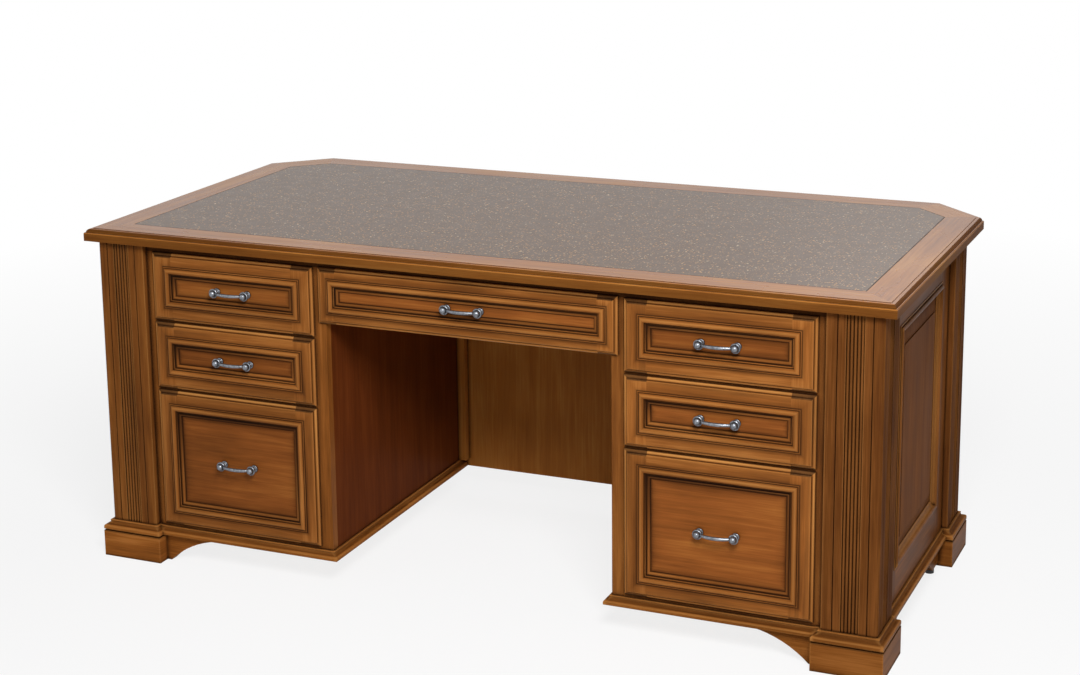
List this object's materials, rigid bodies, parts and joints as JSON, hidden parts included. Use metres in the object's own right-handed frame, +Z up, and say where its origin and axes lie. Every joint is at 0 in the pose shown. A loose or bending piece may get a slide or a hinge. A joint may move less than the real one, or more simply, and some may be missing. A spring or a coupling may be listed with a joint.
{
  "type": "executive desk",
  "caption": "Double-pedestal executive desk with a clipped-corner inlaid top, reeded corner posts, panelled sides, a knee hole and sliding drawers with bow pulls.",
  "frame": {"origin": "on the floor, under the middle of the top", "axes": "+X to the sitter's right, +Y from the sitter to the far side, +Z up"},
  "size_m": [1.829, 0.9331, 0.765],
  "materials": {
    "case_wood": "glazed cherry stain, satin lacquer",
    "drawer_front_wood": "glazed cherry stain, satin lacquer, dark glaze in the grooves",
    "border_wood": "glazed cherry stain, semi-gloss lacquer",
    "inlay": "dark speckled laminate, semi-gloss",
    "core_board": "plain board",
    "drawer_box_wood": "clear lacquer",
    "pewter": "antiqued pewter plate",
    "slide_steel": "zinc plate",
    "glide_plastic": "black"
  },
  "bodies": {
    "case": {"back_frames": "case_wood", "base_mouldings": "case_wood", "border_clips": "border_wood", "border_ends": "border_wood", "border_front": "border_wood", "border_rear": "border_wood", "brackets": "case_wood", "case_slides": "slide_steel", "face_frame_left": "case_wood", "face_frame_right": "case_wood", "fixing_cleats": "case_wood", "glides": "glide_plastic", "kneehole_rail": "case_wood", "kneehole_walls": "case_wood", "modesty_panel": "case_wood", "panel_mouldings": "case_wood", "pedestal_bottoms": "core_board", "plinth_blocks": "case_wood", "plinth_caps": "case_wood", "post_front_left": "case_wood", "post_front_right": "case_wood", "post_rear_left": "case_wood", "post_rear_right": "case_wood", "raised_panels": "case_wood", "side_frame_left": "case_wood", "side_frame_right": "case_wood", "slide_battens": "core_board", "slide_partitions": "core_board", "top_core": "core_board", "top_inlay": "inlay"},
    "drawer_left_top": {"front_left_top": "drawer_front_wood", "box_left_top": "drawer_box_wood", "pull_left_top": "pewter", "runners_left_top": "slide_steel"},
    "drawer_left_middle": {"front_left_middle": "drawer_front_wood", "box_left_middle": "drawer_box_wood", "pull_left_middle": "pewter", "runners_left_middle": "slide_steel"},
    "drawer_left_file": {"front_left_file": "drawer_front_wood", "box_left_file": "drawer_box_wood", "pull_left_file": "pewter", "runners_left_file": "slide_steel"},
    "drawer_right_top": {"front_right_top": "drawer_front_wood", "box_right_top": "drawer_box_wood", "pull_right_top": "pewter", "runners_right_top": "slide_steel"},
    "drawer_right_middle": {"front_right_middle": "drawer_front_wood", "box_right_middle": "drawer_box_wood", "pull_right_middle": "pewter", "runners_right_middle": "slide_steel"},
    "drawer_right_file": {"front_right_file": "drawer_front_wood", "box_right_file": "drawer_box_wood", "pull_right_file": "pewter", "runners_right_file": "slide_steel"},
    "drawer_centre": {"front_centre": "drawer_front_wood", "box_centre": "drawer_box_wood", "pull_centre": "pewter", "runners_centre": "slide_steel"},
    "slide_middles_left": {"slide_middles_left_file": "slide_steel"},
    "slide_middles_right": {"slide_middles_right_file": "slide_steel"}
  },
  "joints": [
    {"name": "left_top_drawer", "type": "slide", "parent": "case", "child": "drawer_left_top", "axis": [0, -1, 0], "range_m": [0, 0.4]},
    {"name": "left_middle_drawer", "type": "slide", "parent": "case", "child": "drawer_left_middle", "axis": [0, -1, 0], "range_m": [0, 0.4]},
    {"name": "left_file_drawer", "type": "slide", "parent": "case", "child": "drawer_left_file", "axis": [0, -1, 0], "range_m": [0, 0.5]},
    {"name": "right_top_drawer", "type": "slide", "parent": "case", "child": "drawer_right_top", "axis": [0, -1, 0], "range_m": [0, 0.4]},
    {"name": "right_middle_drawer", "type": "slide", "parent": "case", "child": "drawer_right_middle", "axis": [0, -1, 0], "range_m": [0, 0.4]},
    {"name": "right_file_drawer", "type": "slide", "parent": "case", "child": "drawer_right_file", "axis": [0, -1, 0], "range_m": [0, 0.5]},
    {"name": "centre_drawer", "type": "slide", "parent": "case", "child": "drawer_centre", "axis": [0, -1, 0], "range_m": [0, 0.34]},
    {"name": "left_slide_middles", "type": "slide", "parent": "case", "child": "slide_middles_left", "axis": [0, -1, 0], "range_m": [0, 0.25]},
    {"name": "right_slide_middles", "type": "slide", "parent": "case", "child": "slide_middles_right", "axis": [0, -1, 0], "range_m": [0, 0.25]}
  ],
  "couplings": [
    {"joint": "left_slide_middles", "follows": "left_file_drawer", "ratio": 0.5},
    {"joint": "right_slide_middles", "follows": "right_file_drawer", "ratio": 0.5}
  ]
}
